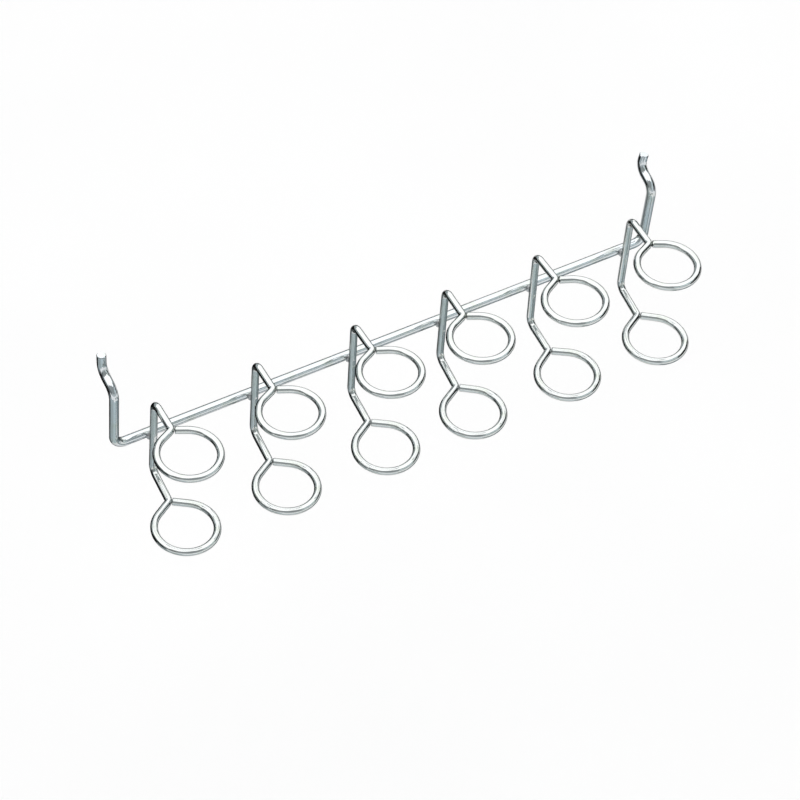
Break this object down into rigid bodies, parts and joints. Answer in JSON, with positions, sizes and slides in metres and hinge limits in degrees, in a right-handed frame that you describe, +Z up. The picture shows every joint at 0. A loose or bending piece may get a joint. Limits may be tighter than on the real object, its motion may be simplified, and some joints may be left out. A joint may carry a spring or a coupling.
{
  "type": "peg hook rack",
  "caption": "Welded wire tool rack that hooks into a pegboard: a row of double-ring holders on one hanger rod with cranked hook ends.",
  "frame": {"origin": "on the front face of the pegboard, midway between the two peg holes that the hooks pass through, at the height of the middle of the hooks' cranks", "axes": "+Z up, +X along the rod to the right of a person who faces the board, +Y into the board"},
  "size_m": [0.3113, 0.0742, 0.0796],
  "materials": {
    "rod_zinc": "bright zinc plate on steel rod",
    "ring_wire_zinc": "bright zinc plate on drawn steel wire",
    "weld_zinc": "zinc plate, dull over a resistance weld"
  },
  "bodies": {
    "root": {"hanger_rod": "rod_zinc", "ring_holder_1": "ring_wire_zinc", "ring_holder_2": "ring_wire_zinc", "ring_holder_3": "ring_wire_zinc", "ring_holder_4": "ring_wire_zinc", "ring_holder_5": "ring_wire_zinc", "ring_holder_6": "ring_wire_zinc", "weld_1": "weld_zinc", "weld_2": "weld_zinc", "weld_3": "weld_zinc", "weld_4": "weld_zinc", "weld_5": "weld_zinc", "weld_6": "weld_zinc"}
  },
  "joints": []
}
